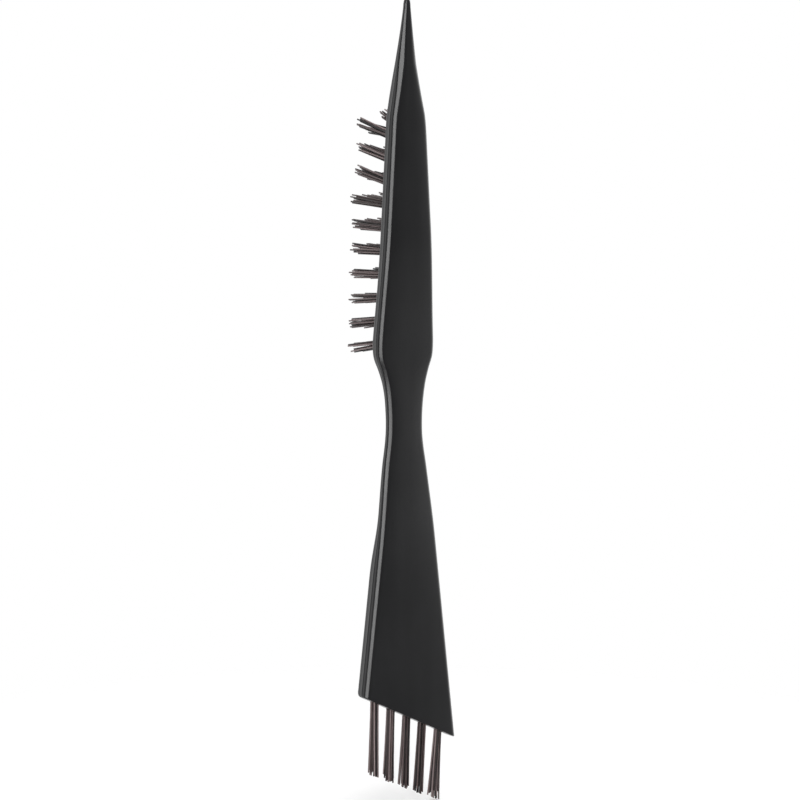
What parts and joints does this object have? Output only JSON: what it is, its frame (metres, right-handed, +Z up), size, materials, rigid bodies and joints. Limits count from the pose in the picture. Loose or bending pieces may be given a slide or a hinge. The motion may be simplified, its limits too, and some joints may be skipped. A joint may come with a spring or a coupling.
{
  "type": "salon tint brush",
  "caption": "Slim moulded tint brush with a pointed sectioning tip, rows of bristle tufts under the head and a row of longer tufts in its slanted end.",
  "frame": {"origin": "middle of the bottom of the whole brush's box, with the brush upright on its end tufts", "axes": "+Z up the handle to the pointed tip, +Y the way the head's tufts point, -Y out of the plain flat back, +X towards the longer side of the slanted end"},
  "size_m": [0.0332, 0.0228, 0.2311],
  "materials": {
    "handle_plastic": "satin black moulded plastic",
    "bristle_nylon": "dark brown nylon filament with a soft sheen",
    "anchor_brass": "bright cut wire"
  },
  "bodies": {
    "root": {"handle": "handle_plastic", "head_tuft_a1": "bristle_nylon", "head_tuft_a2": "bristle_nylon", "head_tuft_a3": "bristle_nylon", "head_tuft_a4": "bristle_nylon", "head_tuft_a5": "bristle_nylon", "head_tuft_a6": "bristle_nylon", "head_tuft_a7": "bristle_nylon", "head_tuft_a8": "bristle_nylon", "head_tuft_a9": "bristle_nylon", "head_tuft_a10": "bristle_nylon", "head_tuft_b1": "bristle_nylon", "head_tuft_b2": "bristle_nylon", "head_tuft_b3": "bristle_nylon", "head_tuft_b4": "bristle_nylon", "head_tuft_b5": "bristle_nylon", "head_tuft_b6": "bristle_nylon", "head_tuft_b7": "bristle_nylon", "head_tuft_b8": "bristle_nylon", "head_tuft_b9": "bristle_nylon", "head_tuft_b10": "bristle_nylon", "head_tuft_c1": "bristle_nylon", "head_tuft_c2": "bristle_nylon", "head_tuft_c3": "bristle_nylon", "head_tuft_c4": "bristle_nylon", "head_tuft_c5": "bristle_nylon", "head_tuft_c6": "bristle_nylon", "head_tuft_c7": "bristle_nylon", "head_tuft_c8": "bristle_nylon", "head_tuft_c9": "bristle_nylon", "head_tuft_c10": "bristle_nylon", "end_tuft_1": "bristle_nylon", "end_tuft_2": "bristle_nylon", "end_tuft_3": "bristle_nylon", "end_tuft_4": "bristle_nylon", "end_tuft_5": "bristle_nylon", "end_anchor_1": "anchor_brass", "end_anchor_2": "anchor_brass", "end_anchor_3": "anchor_brass", "end_anchor_4": "anchor_brass", "end_anchor_5": "anchor_brass"}
  },
  "joints": []
}
